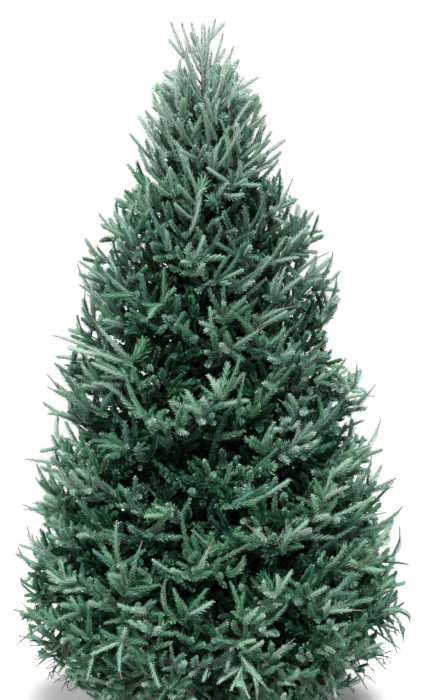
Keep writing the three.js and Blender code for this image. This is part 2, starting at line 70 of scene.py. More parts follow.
# Height on the trunk, number of boughs, bare length of each, turn about the trunk in degrees.
WHORLS = [
    (0.30, 6, 0.125, 18), (0.57, 6, 0.110, 47), (0.84, 5, 0.090, 41), (1.11, 5, 0.0, 4),
    (1.38, 4, 0.0, 12), (1.65, 4, 0.0, 58), (1.92, 4, 0.0, 20),
]
WHORL_STEP = WHORLS[1][0] - WHORLS[0][0]
BOUGH_RISE = (-3, 50)
TIP_RISE = (3, 68)
LEADER_RISE = 74
BOUGH_RADIUS = (0.010, 0.0055)
STEM_TIP_SHARE = 0.3
WANDER = (-0.06, 0.06)  # radians that a bough's tip strays round the trunk
LEADER_LIFT = 0.02  # of the leader's mass over the trunk
BAND_WAVE = 0.042  # how far the edges between whorls rise and fall
WAVES = 3
WAVE_SHIFT = 2.1
REACH_ROUNDS = 40
TANGENT_STEP = 0.005

# ---- the finer growth
# Thinner boughs between a whorl's own: height over it in steps of whorls, and turn in masses.
BETWEEN = [(-0.4, 0.2), (-0.2, -0.4), (0.2, 0.4), (0.4, -0.2)]
BETWEEN_PLAY = (-0.06, 0.06)
BETWEEN_WANDER = (-0.1, 0.1)
BETWEEN_THICK = 0.7
SLENDER = (1.68, 1.88, 0.17)  # the crown narrows over these heights, by this share
CLUMPS = Vector((3.4, 3.4, 7.0))  # clumps and hollows per metre: across, and up
HOLLOWS = (-0.12, 0.5)  # the part of their noise that makes hollows
HOLLOW_DEPTH = 0.23  # of the crown's radius
HOLLOW_START = (0.35, 0.8)  # heights over which they set in
SKIRT_PLAY = 0.02  # how far tips may hang below the skirt
TRUNK_CLEAR = 0.01  # from a shoot's tip to the trunk
STEM_SPANS = 12
LAST_FORK = (0.1, (0.9, 1.3))  # the length left to the fork at a bough's end, and its play
FOOT_CLEAR = 0.02  # at the bough's foot, without side twigs
FIRST_NODE = (0.34, (0.8, 1.2))  # of a bough's reach, to the first side twigs, and its play
NODE_SPACING = 0.062
SIDE_ROLLS = (60, 112)
SIDE_ANGLES = (42, 56)
SIDE_LENGTHS = (0.55, 1.0)  # of the room that a side twig has
SIDE_ROOM = 0.9  # which is this share of the way to the mass's edge
TIP_ROOM = (0.05, 0.8)  # and at most this, and this share of what the bough still has to go
SIDE_THICKNESS = 0.5  # of the bough's
SMALL_THICKNESS = 0.4
TWIG_TAPER = 0.55
TWIG_STRAY = 0.22  # sideways, from one shoot to the next
TWIG_UPTURN = 0.25  # over its whole length
TWIG_DROOP = -0.1
UPRIGHT_LENGTHS = (0.05, 0.12)
UPRIGHT_ANGLES = (28, 52)
UNDER_ROLLS = (150, 210)
UNDER_ANGLES = (25, 55)
HANGING_LENGTHS = (0.08, 0.18)

SHOOT_SPACING = 0.045  # along a side twig
SHOOT_LENGTHS = (0.075, 0.155)
BY_CHANCE = 0.5  # of a shoot's length; the rest goes by its place
BACK_ALONG = (0.2, 0.7)  # from a shoot towards the last, to the one between them
UPPER_SIZE = 0.8  # of such a shoot on the upper side of the twig, and of one on the other side
OTHER_SIZE = 0.9
SHOOT_ROLLS = (70, 110)
SHOOT_ANGLES = (35, 64)
UPPER_ROLLS = (-40, 40)
UPPER_ANGLES = (20, 48)
SHORTEST_SHOOT = 0.04
MOST_BEND = (105, 48)  # most degrees from root to tip, lowest whorl and highest
BEND_PLAY = (0.2, 1)
BEND_ROLLS = (-115, 115)  # from its upper side
LIE_OVER = (0.3, 0.1)  # share of its outward run that its outer half loses, likewise
STEEPNESS = (0.15, 0.75)  # share that a shoot keeps on the lowest whorl; on the highest, all
SHARED_RISE = (0.24, 0.0)  # and the rise added to it, likewise
FITTING = (4, 0.8)  # tries to fit a shoot, each at this share of the last length
THICKNESS = (0.86, 1.18)  # of single shoots
FINE_SKIRT = (0.18, 0.5, 0.78)  # size of shoots below the first height; full from the second
LEAD_THICKNESS = 0.9  # of the shoots that lead on at twigs' ends
SLIM_BELOW = 1.2  # thinner leading shoots have slim ends
SHOOT_GAPS = (0.0175, 0.036)  # least distance between two shoots' outer halves, likewise
OUTER_POINTS = (0.5, 0.75, 1)  # which are felt for at these places
OUTLINE_PLAY = (0.86, 0.985)  # share of the outline that a shoot may reach
LEAD_PLAY = (0.97, 1.04)  # and that a leading one may
TIP_PLAY = 1.04
FARTHEST = 0.672  # from the trunk, for anything that grows
LET_OVER = 0.06  # how far a shoot may cross into the next mass
BARE_TIPS = (0.008, 0.028)  # slim ends of the outermost twigs
BARE_TIP_SIZES = (1.0, 2.0)  # times that, lowest whorl and highest
BARE_TIP_DEPTH = 0.05
BARE_TIP_FOOT = 0.92  # along its shoot
BARE_TIP_RADII = (0.0028, 0.0024, 0.0014)

FORK_LEADS = (0.1, 0.185)
FORK_SIDES = (0.06, 0.14)
FORK_STAGGER = 0.06  # along the twig, from a fork's first foot to its last
FORK_ANGLES = (28, 52)
FORK_UPPER = ((-50, 50), (22, 50))  # rolls and angles
FORK_UNDER = ((130, 230), (20, 42))
FORK_SHARE = 0.75  # of the places at its sides
UNDER_SHARE = 0.15  # of the forks

# Gaps are filled last: places tried in each mass, their shares of the outline, and the shoots' thickness.
OUTER_GAPS = (900, (0.7, 0.98), 1.0)
INNER_GAPS = (560, (0.2, 0.78), 2.2)
SKIRT_GAPS = (2400, (0.28, 0.98), 1.05)  # in the lowest whorl, under its boughs
SKIRT_HEIGHTS = (-1.0, -0.2)  # from the boughs' tips, as shares of the whorls' spacing
GAP_WHORLS = 5  # higher up the sky shows through
GAP_NODE = 0.6  # along an older shoot, where a new one may start
HEIGHT_COUNTS = 2.5  # times, on the lowest whorl: a gap is filled from its own height

BARE_TWIGS = 18  # in each mass of the lowest whorl
BARE_TWIG_HEIGHTS = (0.07, 0.36)
BARE_TWIG_SHARES = (0.92, 0.99)  # of the outline
BARE_TWIG_LENGTHS = (0.03, 0.16)
BARE_TWIG_RADII = (0.0022, 0.002, 0.0017, 0.0014, 0.001)
TWIG_CROOK = 0.008
TWIGLETS = (0.012, 0.04)
TWIGLET_ANGLES = (30, 60)

INNER_SHOOTS = 26  # on the trunk, in each mass
INNER_SPACING = 0.045  # and along the first stretch of its boughs, so many together
INNER_TOGETHER = 3
INNER_ANGLES = (40, 80)
INNER_LENGTHS = (0.1, 0.2)
INNER_RISE = (-0.4, 0.9)
INNER_THICKNESS = 2.2

# Steep shoots round the leader: height on the trunk, turn about it, lean from upright, length.
TOP_SHOOTS = [
    (2.08, 182, 33, 0.235), (2.11, 205, 30, 0.19), (2.15, 160, 20, 0.15), (2.19, -10, 24, 0.115),
    (2.07, -30, 27, 0.19), (2.05, 15, 38, 0.19), (2.00, -5, 42, 0.2), (2.03, 75, 32, 0.2),
    (2.10, 110, 26, 0.17), (2.04, 265, 30, 0.2), (2.12, 290, 25, 0.15), (2.01, 235, 35, 0.21),
]
TOP_SPREAD = 0.02  # past the outline, for the leader's shoots
TOP_UPTURN = 0.2
TOP_STEM_RADII = (0.0035, 0.003)
TOP_CASTS = (-0.3, 0.2)
TOP_THICKNESSES = (0.75, 0.95)
TOP_SIDES = ((60, 110), (25, 40), (0.05, 0.09), 0.8)  # their side shoots: rolls, angles, lengths, thickness
LEADER_ROOM = 0.008  # over its tip
LEADER_PLACES = (0.15, 0.6, 0.8)  # along it: its shoot's root and middle, and the end of its stem
LEADER_THICKNESS = 1.1
LEADER_STEM_RADII = (TRUNK_TOP_RADIUS, 0.003)

# ---- needles
NEEDLE_LENGTH = 0.0122
NEEDLE_WIDTH = 0.0034
NEEDLE_TIP = 0.45  # width of a needle's tip, as a share
NEEDLE_PLAY = (0.85, 1.15)
NEEDLE_FOOT = 0.8  # of the shoot's radius, where a needle starts
NEEDLE_SWEEP = (31, 48)  # degrees from the shoot, at its foot and at its tip
SWEEP_STRAY = 0.1  # radians
TWIST_STRAY = 0.2
NEEDLES_PER_METRE = 664
CORE_RADIUS = 0.0062  # of a shoot under its needles
CORE_RINGS = (0, 0.35, 0.93, 1)  # places along the shoot
CORE_SHARES = (0.55, 1, 0.95, 0.05)  # of that radius
SLIM_SHARES = (0.55, 0.95, 0.6, 0.05)  # and on slim shoots
BLUNT_END = (0.58, 4)  # share by which needles shorten to a shoot's tip, and how late
SLIM_END = (0.52, 3)
CORE_SIDES = (4, 3)  # near the outline, and deep in the crown
TWIG_SIDES = 3
STEM_SIDES = 6
DEEP = (0.1, 0.24)  # depths over which needles get fewer and wider
DEEP_WIDTH = 5.0
DEEP_COUNT = 0.19
CORE_SHADE_LEVELS = 1  # levels that a shoot is darker than its needles, as painted shade between them
FEWEST_NEEDLES = 8
GOLDEN_ANGLE = radians(137.508)
NEXT_SHOOT_TURN = 1.7  # radians, from one shoot's first needle to the next's

# Base colours: a level gives the green, and a hue its red and blue as shares of it; deeper levels are
# painted shade.
LEVELS = {"pale": 0.58, "light": 0.42, "mid": 0.285, "deep": 0.13, "inner": 0.026}
HUES = {"green": (0.46, 0.62), "grey": (0.58, 0.71), "blue": (0.52, 0.79), "worn": (0.6, 0.67)}
WORN_LEADS = 0.35  # share of the outermost leading shoots that have the last hue
WORN_DEPTH = 0.06
FADE = {"pale": 0.7, "light": 0.4, "mid": 0.03, "deep": -0.42, "inner": -0.6}  # towards grey; below 0 greener, as part of the deep levels' painted shade
HUE_BY_WHORL = (-0.8, 0.5)  # twigs are more often green on the lowest whorl, blue on the highest
FIRST_LEVEL = 1.0  # at the outline
SHADE_LEVELS_BY_DEPTH = 12.5  # and on inwards, for each metre, as painted shade
TONE_HEIGHTS = (0.15, 0.45, 0.8, 1.6, 1.85, 2.15)
TONE_SHIFTS = (-0.4, -0.2, -0.5, -0.35, -1.2, -2.2)  # levels at these heights; below 0 is lighter. The much lighter top is partly its paler new growth and partly painted light
TWIG_CAST = 0.3  # play in level from twig to twig, and from shoot to shoot
SHOOT_CAST = 0.4
LEADS_DARKER = 0.4  # levels
NEEDLE_ROUGHNESS = 0.5
TWIG_BARK = ((0.036, 0.029, 0.023), 0.8)  # colour and roughness
BUD = ((0.15, 0.14, 0.12), 0.7)  # of the bare tips

STEEP = 0.95  # from this rise on, a direction's upper side is towards +Y
TINY = 1e-9


# ---- numbers and curves
def stream(*keys):
    """Park and Miller's random numbers for one limb, named by its keys, as in the CAD source."""
    modulus, factor = 2147483647, 48271
    key_factor, key_shift = 131, 7
    state = SEED
    for key in keys:
        state = (state * key_factor + key + key_shift) % modulus

    def step():
        nonlocal state
        state = state * factor % modulus
        return state / modulus

    step()
    step()
    return lambda low, high: low + (high - low) * step()


def blend(pair, share):
    return pair[0] + (pair[1] - pair[0]) * share


def ramp(value, low, high):
    """0 below low, 1 above high, and even between."""
    return min(1, max(0, (value - low) / (high - low)))


def level_direction(angle):
    return Vector((cos(angle), sin(angle), 0))


def trunk_centre(z):
    share = z / TRUNK_TOP_Z
    bend = sin(pi * share * TRUNK_BENDS)
    x = TRUNK_LEAN[0] * share + TRUNK_SWAY[0] * bend
    y = TRUNK_LEAN[1] * share + TRUNK_SWAY[1] * bend
    return Vector((x, y, z))


def trunk_radius(z):
    share = (z - TRUNK_FOOT_Z) / (TRUNK_TOP_Z - TRUNK_FOOT_Z)
    swell = max(0, 1 - (z - TRUNK_FOOT_Z) / BUTT_HEIGHT)
    return blend((TRUNK_FOOT_RADIUS, TRUNK_TOP_RADIUS), share) + BUTT_SWELL * swell * swell


def crown_radius(z):
    """How far the crown reaches from the trunk at a height."""
    if z < WIDEST_Z:
        tuck = (WIDEST_Z - z) / (WIDEST_Z - SKIRT_Z)
        return CROWN_RADIUS * (1 - SKIRT_TUCK * tuck * tuck)
    share = max(0, OUTLINE_APEX - z) / (OUTLINE_APEX - WIDEST_Z)
    return CROWN_RADIUS * share**OUTLINE_POWER


def reach_of(z, slope, tip_slope):
    """A bough reaches out until its tip meets the crown's outline."""
    reach = CROWN_RADIUS / 2
    for _ in range(REACH_ROUNDS):
        reach = (reach + crown_radius(z + reach * (slope + tip_slope) / 2)) / 2
    return reach


class Limb:
    """A bough: its centre line is a parabola, from one slope at the trunk to another at the tip."""

    def __init__(self, z, azimuth=0.0, wander=0.0, thick=1.0):
        self.z = z
        self.share = (z - WHORLS[0][0]) / (WHORLS[-1][0] - WHORLS[0][0])
        self.slope = tan(radians(blend(BOUGH_RISE, self.share)))
        self.tip_slope = tan(radians(blend(TIP_RISE, self.share)))
        self.reach = reach_of(z, self.slope, self.tip_slope)
        self.azimuth = azimuth
        self.wander = wander
        self.radius = blend(BOUGH_RADIUS, self.share) * thick

    def height(self, out):
        turned = (self.tip_slope - self.slope) / (2 * self.reach)
        return self.z + out * self.slope + out * out * turned

    def point(self, out):
        angle = self.azimuth + self.wander * (out / self.reach) ** 2
        rise = self.height(out) - self.z
        return trunk_centre(self.z) + Vector((out * cos(angle), out * sin(angle), rise))

    def direction(self, out):
        return (self.point(out + TANGENT_STEP) - self.point(out - TANGENT_STEP)).normalized()

    def radius_at(self, out):
        return self.radius * (1 - (1 - STEM_TIP_SHARE) * (out / self.reach))


SURFACES = [Limb(whorl[0]) for whorl in WHORLS]


def edge_above(w, out, angle):
    """The edge between a whorl's masses and those of the whorl above lies halfway, and waves a little."""
    if w + 1 < len(SURFACES):
        upper = SURFACES[w + 1].height(out)
    else:
        upper = TRUNK_TOP_Z + LEADER_LIFT + out * tan(radians(LEADER_RISE))
    halfway = (SURFACES[w].height(out) + upper) / 2
    return halfway + BAND_WAVE * sin(WAVES * angle + WAVE_SHIFT * w)


def from_trunk(point):
    """How far a point lies from the trunk's centre line, and at what angle round it."""
    centre = trunk_centre(point.z)
    x, y = point.x - centre.x, point.y - centre.y
    return hypot(x, y), atan2(y, x)


def hollow(point):
    """0 on the crown's clumps, and 1 in the middle of the hollows between them."""
    place = Vector((point.x * CLUMPS.x, point.y * CLUMPS.y, point.z * CLUMPS.z))
    return ramp(noise.noise(place), *HOLLOWS) * ramp(point.z, *HOLLOW_START)


class Mass:
    """The space of one mass of foliage, and the boughs that grow in it."""

    def __init__(self, w, k):
        z, count, self.bare, turn = WHORLS[w]
        self.whorl = w
        self.name = f"{w + 1}_{k + 1}"
        self.azimuth = radians(turn + 360 * k / count)
        self.half_angle = pi / count
        self.bough = Limb(z, self.azimuth, stream(w, k)(*WANDER))
        self.draw = stream(w, k, 5)
        self.between = []
        for rise, turned in BETWEEN:
            height = z + (rise + self.draw(*BETWEEN_PLAY)) * WHORL_STEP
            angle = self.azimuth + (turned + self.draw(*BETWEEN_PLAY)) * self.half_angle * 2
            limb = Limb(height, angle, self.draw(*BETWEEN_WANDER), BETWEEN_THICK)
            if w + 1 < len(WHORLS) or rise < 0:
                self.between.append(limb)

    def holds(self, point, share):
        """True inside the mass's wedge and band, clear of the trunk, within a share of the outline."""
        out, angle = from_trunk(point)
        low, high, less = SLENDER
        outline = crown_radius(point.z) * (1 - less * ramp(point.z, low, high))
        outline *= 1 - HOLLOW_DEPTH * hollow(point)
        if not SKIRT_Z - SKIRT_PLAY < point.z < TREE_HEIGHT or out > min(FARTHEST, outline * share):
            return False
        if out < trunk_radius(min(point.z, TRUNK_TOP_Z)) + TRUNK_CLEAR:
            return False
        if point.z > edge_above(self.whorl, out, angle) + LET_OVER:
            return False
        if self.whorl and point.z < edge_above(self.whorl - 1, out, angle) - LET_OVER:
            return False
        turn = angle - self.azimuth
        along, aside = out * cos(turn), abs(out * sin(turn))
        return along * sin(self.half_angle) - aside * cos(self.half_angle) > -LET_OVER


class Top:
    """The space round the leader, over the last whorl."""

    name = "leader"

    def __init__(self):
        self.whorl = len(WHORLS)
        self.bough = Limb(WHORLS[-1][0])
        self.draw = stream(self.whorl, 5)

    def holds(self, point, share):
        return point.z < TREE_HEIGHT and from_trunk(point)[0] < crown_radius(point.z) * share + TOP_SPREAD


def laid_over(heading, place, share):
    """A direction that runs less straight out of the crown, and more along its surface."""
    outward = Vector((place.x, place.y, 0)).normalized()
    return (heading - outward * share * max(0, heading.dot(outward))).normalized()


def levelled(heading, kept, rise):
    """A direction with a share of its steepness kept, and a rise added."""
    return Vector((heading.x, heading.y, heading.z * kept + rise)).normalized()


def branch_off(along, roll, angle):
    """A direction that leaves another at an angle, rolled about it from the upper side. Degrees."""
    roll, angle = radians(roll), radians(angle)
    level = Vector((0, 1, 0)) if abs(along.z) > STEEP else UP
    upper = (level - along * level.dot(along)).normalized()
    away = upper * cos(roll) + along.cross(upper) * sin(roll)
    return along * cos(angle) + away * sin(angle)


def cell_of(point):
    """The cell of space that a point lies in, by the widest of the gaps between shoots."""
    return tuple(int(place // SHOOT_GAPS[1]) for place in point)


def nearest_of(points):
    """A search tree over points."""
    tree = kdtree.KDTree(len(points))
    for i, point in enumerate(points):
        tree.insert(point, i)
    tree.balance()
    return tree


# ---- growth
class Shoot:
    """One needle-clad shoot, bent over the middle of three points. Its tone is a level and a hue."""

    def __init__(self, root, middle, tip, thick, level, hue, slim=False):
        self.root, self.middle, self.tip = root, middle, tip
        self.thick = thick
        self.slim = slim  # narrows all the way to its tip, where others are blunt
        self.length = (middle - root).length + (tip - middle).length
        out, _ = from_trunk(tip)
        self.depth = max(0, crown_radius(tip.z) - out)
        # painted shade: a shoot's level darkens with its depth under the outline
        level += FIRST_LEVEL + SHADE_LEVELS_BY_DEPTH * self.depth + np.interp(tip.z, TONE_HEIGHTS, TONE_SHIFTS)
        self.level = min(len(LEVELS) - 1, max(0, round(level)))
        self.hue = hue

    def at(self, t):
        """A point on the curve, from the root at 0 to the tip at 1."""
        return self.root * (1 - t) ** 2 + self.middle * (2 * t * (1 - t)) + self.tip * t**2

    def tone(self, darker=0):
        return min(len(LEVELS) - 1, self.level + darker) * len(HUES) + self.hue


class Growth:
    """What one mass bears: twigs and their bare tips as (points, radii, sides), and shoots."""

    taken = {}  # the outer points of all shoots so far, by cell

    def __init__(self, mass):
        self.mass = mass
        self.share = mass.bough.share
        self.draw = mass.draw
        self.twigs = []
        self.tips = []
        self.shoots = []
        self.new_cast()

    def new_cast(self):
        """The next twig's hue, and how dark it is. The last hue is for worn leading shoots only."""
        last = len(HUES) - 2
        hue = self.draw(-0.5, last + 0.5) + blend(HUE_BY_WHORL, self.share)
        self.hue = min(last, max(0, round(hue)))
        self.cast = self.draw(-TWIG_CAST, TWIG_CAST)

    def crowded(self, points):
        """True where another shoot comes too near one of these points."""
        gap = blend(SHOOT_GAPS, self.share)
        near = (-1, 0, 1)
        for p in points:
            x, y, z = cell_of(p)
            for cell in ((x + i, y + j, z + k) for i in near for j in near for k in near):
                if any((p - q).length_squared < gap * gap for q in self.taken.get(cell, ())):
                    return True
        return False

    def add_shoot(self, root, along, length, leads=False, thick=1.0, droops=False):
        """A shoot bends towards its tip. It is shortened to fit its space, or left out."""
        draw, share = self.draw, self.share
        if not droops:
            along = levelled(along, blend((draw(*STEEPNESS), 1), share), blend(SHARED_RISE, share))
        bend = blend(MOST_BEND, share) * draw(*BEND_PLAY)
        turned = branch_off(along, draw(*BEND_ROLLS) + 180 * droops, bend / (1 + droops))
        if not leads:
            turned = laid_over(turned, root, blend(LIE_OVER, share))
        play = draw(*(LEAD_PLAY if leads else OUTLINE_PLAY))
        low, high, fine = FINE_SKIRT
        fine = blend((fine, 1), ramp(root.z, low, high))
        length *= fine
        thick *= fine
        thick *= draw(*THICKNESS) * (LEAD_THICKNESS if leads else 1)
        tries, shorter = FITTING
        for _ in range(tries):
            middle = root + along * length * 0.5
            tip = middle + turned * length * 0.5
            if self.mass.holds(tip, play):
                break
            length *= shorter
        else:
            return
        if length < SHORTEST_SHOOT:
            return
        level = self.cast + draw(-SHOOT_CAST, SHOOT_CAST) + LEADS_DARKER * leads
        shoot = Shoot(root, middle, tip, thick, level, self.hue, leads and thick < SLIM_BELOW)
        outer = [shoot.at(t) for t in OUTER_POINTS]
        if not leads and self.crowded(outer):
            return
        for point in outer:
            self.taken.setdefault(cell_of(point), []).append(point)
        if leads and shoot.depth < WORN_DEPTH and draw(0, 1) < WORN_LEADS:
            shoot.hue = len(HUES) - 1
        self.shoots.append(shoot)
        if leads and shoot.depth < BARE_TIP_DEPTH:
            size = blend(BARE_TIP_SIZES, share)
            end = tip + turned * (NEEDLE_LENGTH / 2 + size * draw(*BARE_TIPS))
            if self.mass.holds(end, TIP_PLAY):
                self.tips.append(([shoot.at(BARE_TIP_FOOT), tip, end], BARE_TIP_RADII, TWIG_SIDES))

    def add_side_twig(self, node, along, length, radius, droops=False):
        """A side twig bears shoots to left and right in turn, some on its upper side, and a fork."""
        draw = self.draw
        self.new_cast()
        turn = TWIG_DROOP if droops else TWIG_UPTURN
        play = draw(*OUTLINE_PLAY)
        points = [node]
        heading = along
        steps = max(2, round(length / SHOOT_SPACING))
        for i in range(steps):
            stray = heading.cross(UP) * draw(-TWIG_STRAY, TWIG_STRAY)
            heading = (heading + UP * turn / steps + stray).normalized()
            point = points[-1] + heading * length / steps
            if not self.mass.holds(point + heading * SHOOT_LENGTHS[0], play):
                break
            points.append(point)
            if i == 0:
                continue
            side = 1 if i % 2 else -1
            size = blend(SHOOT_LENGTHS, draw(0, BY_CHANCE) + (1 - BY_CHANCE) * (1 - i / steps))
            roll = side * draw(*SHOOT_ROLLS)
            self.add_shoot(point, branch_off(heading, roll, draw(*SHOOT_ANGLES)), size, droops=droops)
            between = point.lerp(points[-2], draw(*BACK_ALONG))
            if i % 3 == 1:
                upper = branch_off(heading, draw(*UPPER_ROLLS), draw(*UPPER_ANGLES))
                self.add_shoot(between, upper, size * UPPER_SIZE)
            else:
                other = branch_off(heading, -roll, draw(*SHOOT_ANGLES))
                self.add_shoot(between, other, size * OTHER_SIZE, droops=droops)
        if len(points) > 1:
            last = len(points) - 1
            radii = [radius * (1 - TWIG_TAPER * i / last) for i in range(last + 1)]
            self.twigs.append((points, radii, TWIG_SIDES))
        self.add_fork(points[-1], heading, droops)

    def add_fork(self, end, heading, droops=False):
        """A long shoot leads on, with one to each side, and one that stands up or hangs."""
        draw = self.draw
        self.add_shoot(end, heading, draw(*FORK_LEADS), leads=True, droops=droops)
        for side in (-1, 1):
            if draw(0, 1) > FORK_SHARE:
                continue
            away = branch_off(heading, side * draw(*SHOOT_ROLLS), draw(*FORK_ANGLES))
            foot = end - heading * draw(0, FORK_STAGGER)
            self.add_shoot(foot, away, draw(*FORK_SIDES), droops=droops)
        if draw(0, 1) > FORK_SHARE and not droops:
            return
        rolls, angles = FORK_UNDER if droops or draw(0, 1) < UNDER_SHARE else FORK_UPPER
        away = branch_off(heading, draw(*rolls), draw(*angles))
        self.add_shoot(end - heading * draw(0, FORK_STAGGER), away, draw(*FORK_SIDES))

    def grow(self, limb, bare):
        """Side twigs in pairs along a bough, shoots over and under it, and a fork at its end."""
        draw = self.draw
        foot = bare + TRUNK_FOOT_RADIUS if bare else trunk_radius(limb.z)
        last = limb.reach - LAST_FORK[0] * draw(*LAST_FORK[1])
        start = max(foot + FOOT_CLEAR, limb.reach * FIRST_NODE[0] * draw(*FIRST_NODE[1]))
        nodes = max(2, round((last - start) / NODE_SPACING))
        outs = [foot + (last - foot) * i / STEM_SPANS for i in range(STEM_SPANS + 1)]
        stem = [limb.point(out) for out in outs], [limb.radius_at(out) for out in outs]
        self.twigs.append((*stem, STEM_SIDES if limb is self.mass.bough else TWIG_SIDES))
        self.new_cast()
        for i in range(int((start - foot) / INNER_SPACING) + 1):
            out = foot + i * INNER_SPACING
            for _ in range(INNER_TOGETHER):
                away = branch_off(limb.direction(out), draw(0, 360), draw(*INNER_ANGLES))
                self.add_shoot(limb.point(out), away, draw(*INNER_LENGTHS), thick=INNER_THICKNESS)
        for i in range(nodes):
            out = start + (last - start) * i / nodes
            node, along = limb.point(out), limb.direction(out)
            radius = limb.radius_at(out)
            for side in (-1, 1):
                away = branch_off(along, side * draw(*SIDE_ROLLS), draw(*SIDE_ANGLES))
                room = out * tan(self.mass.half_angle) * SIDE_ROOM
                room = min(room, TIP_ROOM[0] + (limb.reach - out) * TIP_ROOM[1])
                self.add_side_twig(node, away, room * draw(*SIDE_LENGTHS), radius * SIDE_THICKNESS)
            small = radius * SMALL_THICKNESS
            upward = branch_off(along, draw(*UPPER_ROLLS), draw(*UPRIGHT_ANGLES))
            if i % 2:
                self.add_side_twig(node, upward, draw(*UPRIGHT_LENGTHS), small)
            else:
                self.add_shoot(node, upward, draw(*SHOOT_LENGTHS))
            downward = branch_off(along, draw(*UNDER_ROLLS), draw(*UNDER_ANGLES))
            if self.mass.whorl == 0:
                self.add_side_twig(node, downward, draw(*HANGING_LENGTHS), small, droops=True)
            elif i % 2:
                self.add_shoot(node, downward, draw(*SHOOT_LENGTHS))
        self.new_cast()
        self.add_fork(limb.point(last), limb.direction(last))

    def angle_in_mass(self):
        return self.mass.azimuth + self.mass.half_angle * self.draw(-1, 1)

    def goal_in_mass(self, z, shares, most=inf):
        """A place at a height, in the mass's wedge and within these shares of the outline."""
        angle = self.angle_in_mass()
        out = min(most, crown_radius(z) * self.draw(*shares))
        return trunk_centre(z) + Vector((out * cos(angle), out * sin(angle), 0))

    def fill_gaps(self, tries, shares, thick, heights=(-1, 1), on_shoots=False):
        """Where the crown is open within these shares of it, a shoot grows from the nearest twig."""
        mass, draw = self.mass, self.draw
        nodes = [point for points, _, _ in self.twigs for point in points[1:]]
        if on_shoots:
            nodes += [shoot.at(GAP_NODE) for shoot in self.shoots]
        stretch = blend((HEIGHT_COUNTS, 1), self.share)
        nearest = nearest_of([(point.x, point.y, point.z * stretch) for point in nodes])
        middle = mass.bough.height(mass.bough.reach)
        for _ in range(tries):
            goal = self.goal_in_mass(middle + draw(*heights) * WHORL_STEP, shares)
            root = nodes[nearest.find((goal.x, goal.y, goal.z * stretch))[1]]
            length = (goal - root).length
            if SHORTEST_SHOOT < length < SHOOT_LENGTHS[1] and mass.holds(goal, 1.0):
                self.new_cast()
                self.add_shoot(root, (goal - root).normalized(), length, thick=thick)

    def add_bare_twigs(self):
        """Thin crooked twigs without needles, which stick out of the skirt."""
        draw = self.draw
        shortest, longest = BARE_TWIG_LENGTHS
        nearest = nearest_of([shoot.at(0.5) for shoot in self.shoots if shoot.depth < longest])
        for _ in range(BARE_TWIGS):
            goal = self.goal_in_mass(draw(*BARE_TWIG_HEIGHTS), BARE_TWIG_SHARES, FARTHEST - TWIG_CROOK)
            root, _, length = nearest.find(goal)
            if not shortest < length < longest:
                continue
            last = len(BARE_TWIG_RADII) - 1
            points = [root]
            for i in range(1, last + 1):
                crook = Vector((draw(-1, 1), draw(-1, 1), draw(-1, 1))) * TWIG_CROOK
                points.append(root.lerp(goal, i / last) + crook)
            self.twigs.append((points, BARE_TWIG_RADII, TWIG_SIDES))
            for i in range(1, last):
                away = branch_off((goal - root).normalized(), draw(0, 360), draw(*TWIGLET_ANGLES))
                end = points[i] + away * draw(*TWIGLETS)
                self.twigs.append(([points[i], end], BARE_TWIG_RADII[-2:], TWIG_SIDES))

    def add_inner(self):
        """Thick shoots on the trunk itself, deep in the crown."""
        draw = self.draw
        for _ in range(INNER_SHOOTS):
            z = self.mass.bough.z + draw(-0.5, 0.5) * WHORL_STEP
            away = (level_direction(self.angle_in_mass()) + UP * draw(*INNER_RISE)).normalized()
            root = trunk_centre(z) + away * trunk_radius(z)
            self.add_shoot(root, away, draw(*INNER_LENGTHS), leads=True, thick=INNER_THICKNESS)

    def add_leader(self):
        """The leader stands up from the trunk's top, with steep shoots round it that reach the outline."""
        draw = self.draw
        self.hue = list(HUES).index("grey")
        foot, tip = trunk_centre(TRUNK_TOP_Z), trunk_centre(TREE_HEIGHT - LEADER_ROOM)
        root, middle, stem_end = (foot.lerp(tip, share) for share in LEADER_PLACES)
        self.twigs.append(([foot, stem_end], LEADER_STEM_RADII, STEM_SIDES))
        self.shoots.append(Shoot(root, middle, tip, LEADER_THICKNESS, -TWIG_CAST, self.hue))
        for z, azimuth, lean, length in TOP_SHOOTS:
            root = trunk_centre(z)
            lean, azimuth = radians(lean), radians(azimuth)
            along = level_direction(azimuth) * sin(lean) + UP * cos(lean)
            middle = root + along * length * 0.5
            end = root + (along * (1 - TOP_UPTURN) + UP * TOP_UPTURN).normalized() * length
            self.twigs.append(([root, root.lerp(middle, 0.5)], TOP_STEM_RADII, TWIG_SIDES))
            last = end + (end - middle).normalized() * draw(*BARE_TIPS) * 0.5
            self.tips.append(([end.lerp(middle, 0.1), end, last], BARE_TIP_RADII, TWIG_SIDES))
            cast = draw(*TOP_CASTS)
            thick = draw(*TOP_THICKNESSES)
            self.shoots.append(Shoot(root.lerp(middle, 0.3), middle, end, thick, cast, self.hue, True))
            rolls, angles, lengths, thick = TOP_SIDES
            for side in (-1, 1):
                away = branch_off(along, side * draw(*rolls), draw(*angles))
                self.add_shoot(middle, away, draw(*lengths), thick=thick)


# ---- meshes
def unit(vectors):
    return vectors / np.maximum(np.linalg.norm(vectors, axis=-1, keepdims=True), TINY)


def frames_along(tangents):
    """Two directions square to each tangent: across, and upper."""
    steep = np.abs(tangents[:, 2:3]) > STEEP
    level = np.where(steep, (0.0, 1.0, 0.0), (0.0, 0.0, 1.0))
    across = unit(np.cross(tangents, level))
    return across, np.cross(across, tangents)


def in_scene(name, data):
    item = bpy.data.objects.new(name, data)
    bpy.context.scene.collection.objects.link(item)
    return item


def piece_of(name, mesh, nodes):
    """Puts a mesh in the scene as a piece that stands for these nodes."""
    piece = in_scene(name, mesh)
    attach(piece, "root")
    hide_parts(*nodes)


